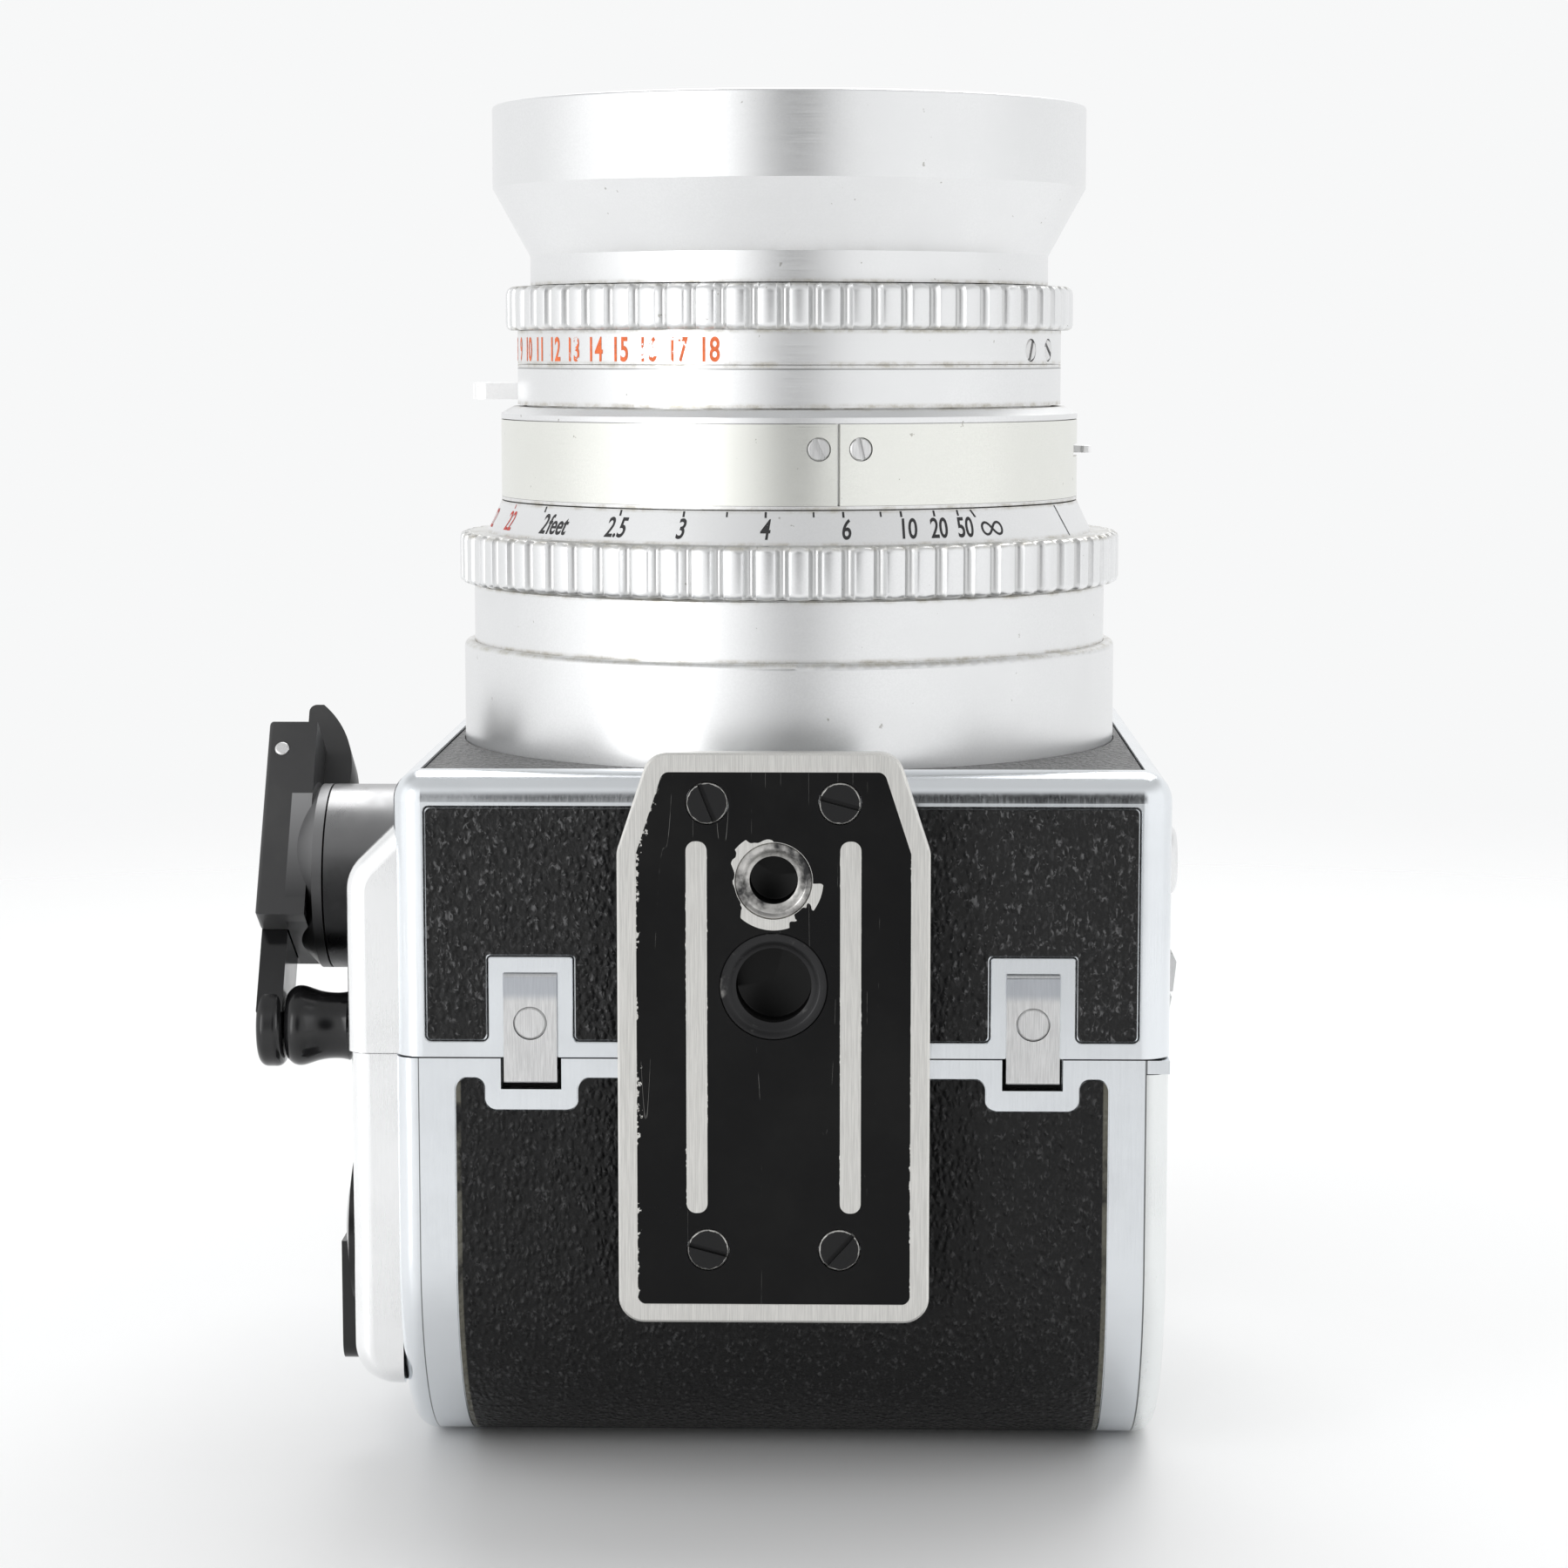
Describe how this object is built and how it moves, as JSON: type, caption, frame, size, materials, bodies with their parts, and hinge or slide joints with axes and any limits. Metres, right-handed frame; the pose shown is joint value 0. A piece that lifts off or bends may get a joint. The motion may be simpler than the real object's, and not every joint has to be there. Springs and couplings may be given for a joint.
{
  "type": "medium format wide-angle camera",
  "caption": "Box-bodied roll-film camera with a leaf-shutter wide lens and hood, winding crank, viewfinder, tripod foot and detachable film magazine.",
  "frame": {"origin": "on the lens axis, at the back of the film magazine, the face the camera stands on", "axes": "+Z the way the lens looks, -Y the camera's underside with the tripod foot, -X the winding side with the crank"},
  "size_m": [0.1054, 0.1306, 0.15],
  "materials": {
    "silver_satin": "satin anodised silver",
    "frame_polished": "polished, lightly brushed",
    "steel_brushed": "brushed",
    "leatherette": "pebble grain",
    "black_lacquer": "semi-gloss black, worn at the edges",
    "dark_grey": "satin dark grey",
    "black_plastic": "gloss",
    "optical_glass": "polished, coated",
    "blade_steel": "blued",
    "gear_brass": "machined",
    "spool_plastic": "matte"
  },
  "bodies": {
    "camera_body": {"body_shell": "frame_polished", "underside_leather": "leatherette", "front_leather": "leatherette", "side_leathers": "leatherette", "magazine_hooks": "steel_brushed", "foot_bracket": "frame_polished", "tripod_plate": "black_lacquer", "plate_screws": "black_lacquer", "socket_small": "black_lacquer", "socket_large": "black_lacquer", "lens_base_ring": "silver_satin", "lens_sleeve": "silver_satin", "body_gear_housing": "frame_polished", "crank_collar": "dark_grey", "side_cap": "silver_satin", "strap_lugs": "steel_brushed", "accessory_shoe": "steel_brushed", "spirit_level": "silver_satin"},
    "focus": {"focus_ring": "silver_satin", "distance_ring": "silver_satin"},
    "lens_barrel": {"shutter_case": "silver_satin", "shutter_bands": "silver_satin", "band_screws": "steel_brushed", "front_cell": "black_lacquer", "front_element": "optical_glass", "rear_element": "optical_glass"},
    "speed": {"speed_ring": "silver_satin"},
    "interlock": {"interlock_tab": "silver_satin"},
    "aperture": {"aperture_scale_ring": "silver_satin", "aperture_grip_ring": "silver_satin", "ring_screws": "steel_brushed"},
    "sync": {"sync_lever": "silver_satin"},
    "hood": {"lens_hood": "silver_satin"},
    "crank": {"crank_arm": "dark_grey", "crank_pin": "steel_brushed", "winding_gear": "gear_brass"},
    "crank_handle": {"crank_lever": "black_plastic"},
    "handle_knob": {"crank_knob": "black_plastic"},
    "transfer": {"transfer_gear": "gear_brass"},
    "finder": {"viewfinder": "black_lacquer", "finder_glass": "optical_glass"},
    "release": {"release_button": "steel_brushed"},
    "release_ring": {"release_lock": "silver_satin"},
    "magazine": {"magazine_shell": "frame_polished", "magazine_side_plate": "frame_polished", "magazine_leather": "leatherette", "magazine_gear_housing": "frame_polished"},
    "catch": {"magazine_catch": "frame_polished"},
    "winder": {"magazine_winder": "black_plastic"},
    "counter": {"counter_gear": "gear_brass"},
    "film_insert": {"insert_end_plate": "frame_polished", "insert_frame": "black_lacquer"},
    "key": {"insert_key": "steel_brushed"},
    "takeup": {"takeup_spool": "spool_plastic"},
    "feed": {"feed_spool": "spool_plastic"},
    "blade_1": {"iris_blade_1": "blade_steel"},
    "blade_2": {"iris_blade_2": "blade_steel"},
    "blade_3": {"iris_blade_3": "blade_steel"},
    "blade_4": {"iris_blade_4": "blade_steel"},
    "blade_5": {"iris_blade_5": "blade_steel"}
  },
  "joints": [
    {"name": "focus_turn", "type": "hinge", "parent": "camera_body", "child": "focus", "pos_m": [0, 0, 0.1], "axis": [0, 0, 1], "range_deg": [0, 130]},
    {"name": "lens_travel", "type": "slide", "parent": "camera_body", "child": "lens_barrel", "axis": [0, 0, 1], "range_m": [0, 0.0039]},
    {"name": "speed_turn", "type": "hinge", "parent": "lens_barrel", "child": "speed", "pos_m": [0, 0, 0.118], "axis": [0, 0, 1], "range_deg": [-60, 60]},
    {"name": "interlock_press", "type": "slide", "parent": "speed", "child": "interlock", "axis": [0, 0, -1], "range_m": [0, 0.0005], "stiffness_N_per_m": 300},
    {"name": "aperture_turn", "type": "hinge", "parent": "lens_barrel", "child": "aperture", "pos_m": [0, 0, 0.125], "axis": [0, 0, 1], "range_deg": [0, 60]},
    {"name": "sync_swing", "type": "hinge", "parent": "lens_barrel", "child": "sync", "pos_m": [0, 0, 0.111], "axis": [0, 0, 1], "range_deg": [-8, 8]},
    {"name": "hood_twist", "type": "hinge", "parent": "lens_barrel", "child": "hood", "pos_m": [0, 0, 0.135], "axis": [0, 0, 1], "range_deg": [0, 30]},
    {"name": "crank_turn", "type": "hinge", "parent": "camera_body", "child": "crank", "pos_m": [-0.05, -0.014, 0.0627], "axis": [-1, 0, 0], "continuous": true},
    {"name": "crank_fold", "type": "hinge", "parent": "crank", "child": "crank_handle", "pos_m": [-0.05745, -0.00764, 0.07288], "axis": [0, 0.848, -0.5299], "range_deg": [0, 180]},
    {"name": "knob_spin", "type": "hinge", "parent": "crank_handle", "child": "handle_knob", "pos_m": [-0.0526, -0.02375, 0.0471], "axis": [-1, 0, 0], "continuous": true},
    {"name": "transfer_turn", "type": "hinge", "parent": "camera_body", "child": "transfer", "pos_m": [-0.033, -0.02393, 0.05494], "axis": [-1, 0, 0], "continuous": true},
    {"name": "finder_slide", "type": "slide", "parent": "camera_body", "child": "finder", "axis": [0, 0, 1], "range_m": [0, 0.025]},
    {"name": "release_press", "type": "slide", "parent": "camera_body", "child": "release", "axis": [0, -1, 0], "range_m": [0, 0.003], "stiffness_N_per_m": 300},
    {"name": "release_lock_turn", "type": "hinge", "parent": "camera_body", "child": "release_ring", "pos_m": [-0.027, 0.044, 0.062], "axis": [0, 1, 0], "range_deg": [0, 35]},
    {"name": "magazine_tilt", "type": "hinge", "parent": "camera_body", "child": "magazine", "pos_m": [0, -0.0434, 0.0472], "axis": [-1, 0, 0], "range_deg": [0, 4]},
    {"name": "catch_slide", "type": "slide", "parent": "magazine", "child": "catch", "axis": [1, 0, 0], "range_m": [0, 0.004], "stiffness_N_per_m": 200},
    {"name": "winder_turn", "type": "hinge", "parent": "magazine", "child": "winder", "pos_m": [-0.045, -0.026, 0.025], "axis": [-1, 0, 0], "continuous": true},
    {"name": "counter_turn", "type": "hinge", "parent": "magazine", "child": "counter", "pos_m": [-0.0432, -0.012, 0.025], "axis": [-1, 0, 0], "continuous": true},
    {"name": "insert_slide", "type": "slide", "parent": "magazine", "child": "film_insert", "axis": [1, 0, 0], "range_m": [0, 0.08]},
    {"name": "key_turn", "type": "hinge", "parent": "film_insert", "child": "key", "pos_m": [0.0425, 0.008, 0.022], "axis": [1, 0, 0], "range_deg": [0, 90]},
    {"name": "takeup_turn", "type": "hinge", "parent": "film_insert", "child": "takeup", "pos_m": [0, -0.026, 0.025], "axis": [-1, 0, 0], "continuous": true},
    {"name": "feed_turn", "type": "hinge", "parent": "film_insert", "child": "feed", "pos_m": [0, 0.026, 0.025], "axis": [-1, 0, 0], "continuous": true},
    {"name": "blade_swing_1", "type": "hinge", "parent": "lens_barrel", "child": "blade_1", "pos_m": [0.00158, -0.02254, 0.1076], "axis": [0, 0, 1], "range_deg": [0, 28.1]},
    {"name": "blade_swing_2", "type": "hinge", "parent": "lens_barrel", "child": "blade_2", "pos_m": [0.02193, -0.00547, 0.1079], "axis": [0, 0, 1], "range_deg": [0, 28.1]},
    {"name": "blade_swing_3", "type": "hinge", "parent": "lens_barrel", "child": "blade_3", "pos_m": [0.01198, 0.01917, 0.1082], "axis": [0, 0, 1], "range_deg": [0, 28.1]},
    {"name": "blade_swing_4", "type": "hinge", "parent": "lens_barrel", "child": "blade_4", "pos_m": [-0.01453, 0.01731, 0.1085], "axis": [0, 0, 1], "range_deg": [0, 28.1]},
    {"name": "blade_swing_5", "type": "hinge", "parent": "lens_barrel", "child": "blade_5", "pos_m": [-0.02095, -0.00847, 0.1088], "axis": [0, 0, 1], "range_deg": [0, 28.1]}
  ],
  "couplings": [
    {"joint": "focus_turn", "follows": "lens_travel", "rad_per_m": 581.7},
    {"joint": "transfer_turn", "follows": "crank_turn", "ratio": -2},
    {"joint": "winder_turn", "follows": "crank_turn", "ratio": 1},
    {"joint": "counter_turn", "follows": "crank_turn", "ratio": -1},
    {"joint": "takeup_turn", "follows": "crank_turn", "ratio": 1},
    {"joint": "feed_turn", "follows": "crank_turn", "ratio": 0.52},
    {"joint": "blade_swing_1", "follows": "aperture_turn", "ratio": 0.4667},
    {"joint": "blade_swing_2", "follows": "aperture_turn", "ratio": 0.4667},
    {"joint": "blade_swing_3", "follows": "aperture_turn", "ratio": 0.4667},
    {"joint": "blade_swing_4", "follows": "aperture_turn", "ratio": 0.4667},
    {"joint": "blade_swing_5", "follows": "aperture_turn", "ratio": 0.4667}
  ]
}
